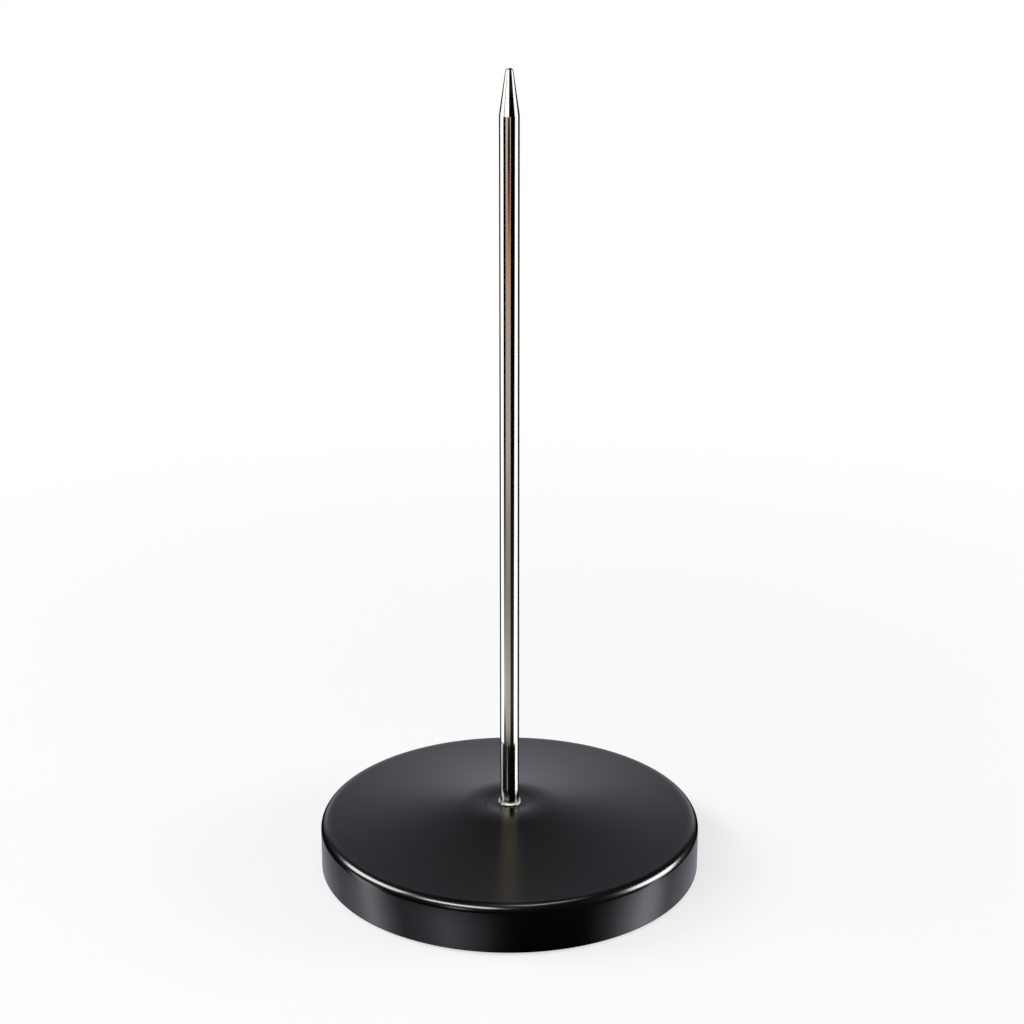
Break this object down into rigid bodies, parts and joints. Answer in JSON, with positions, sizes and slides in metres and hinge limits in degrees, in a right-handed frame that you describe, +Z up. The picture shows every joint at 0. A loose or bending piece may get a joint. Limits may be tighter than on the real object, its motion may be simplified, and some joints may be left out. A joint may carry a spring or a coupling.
{
  "type": "bill spike",
  "caption": "Desk bill spike: a blunt plated spike standing in a round weighted base with a low crown, for holding pierced bills and receipts.",
  "frame": {"origin": "on the table, at the middle of the base's underside", "axes": "+Z up along the spike, from the base to the tip. The object is round about Z, so X and Y are free; -Y faces the picture's camera"},
  "size_m": [0.08, 0.08, 0.1669],
  "materials": {
    "cover_paint": "satin black baked enamel",
    "ballast_iron": "as cast, oiled",
    "bright_plating": "bright nickel plating",
    "fastener_steel": "zinc plated",
    "pad_felt": "pressed felt"
  },
  "bodies": {
    "root": {"base_cover": "cover_paint", "ballast_weight": "ballast_iron", "spike": "bright_plating", "foot_collar": "bright_plating", "flat_washer": "fastener_steel", "lock_washer": "fastener_steel", "hex_nut": "fastener_steel", "base_pad": "pad_felt"}
  },
  "joints": []
}
